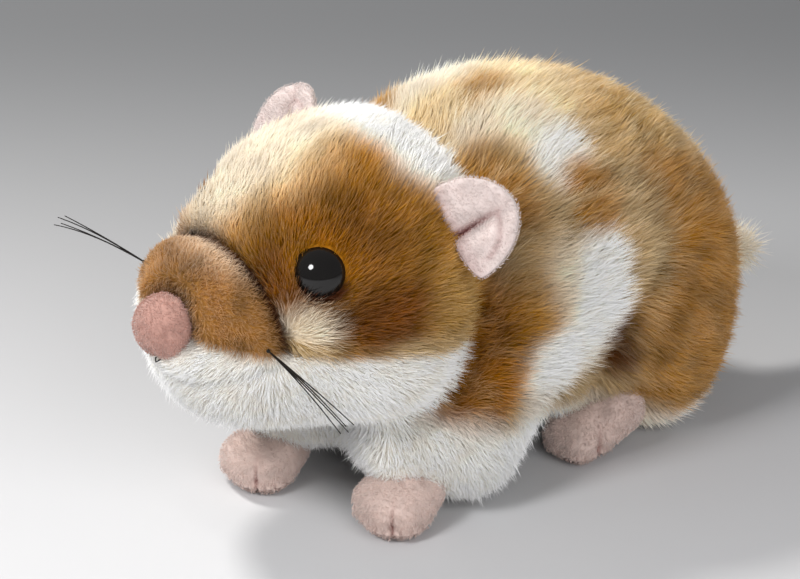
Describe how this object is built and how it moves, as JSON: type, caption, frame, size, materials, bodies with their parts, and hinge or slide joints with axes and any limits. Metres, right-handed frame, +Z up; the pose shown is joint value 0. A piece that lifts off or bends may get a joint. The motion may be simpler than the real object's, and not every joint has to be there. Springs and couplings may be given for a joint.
{
  "type": "plush toy hamster",
  "caption": "Long-pile plush toy hamster resting on velour paws, with button eyes, folded ears and nylon whiskers.",
  "frame": {"origin": "on the floor, under the middle of the toy's box", "axes": "+Z up, -Y the way the nose points, +X the toy's left side"},
  "size_m": [0.108, 0.1798, 0.0908],
  "materials": {
    "pile": "long soft acrylic pile, golden above and cream below",
    "velour": "short pale pink velour",
    "button": "polished black button",
    "nylon": "dark brown nylon strand"
  },
  "bodies": {
    "root": {"head": "pile", "muzzle": "pile", "jaw": "pile", "trunk": "pile", "left_front_leg": "pile", "right_front_leg": "pile", "left_hind_leg": "pile", "right_hind_leg": "pile", "tail": "pile", "left_ear": "velour", "right_ear": "velour", "left_front_paw": "velour", "right_front_paw": "velour", "left_hind_paw": "velour", "right_hind_paw": "velour", "nose": "velour", "left_eye": "button", "right_eye": "button", "mouth_stitch": "nylon", "left_whiskers": "nylon", "right_whiskers": "nylon"}
  },
  "joints": []
}
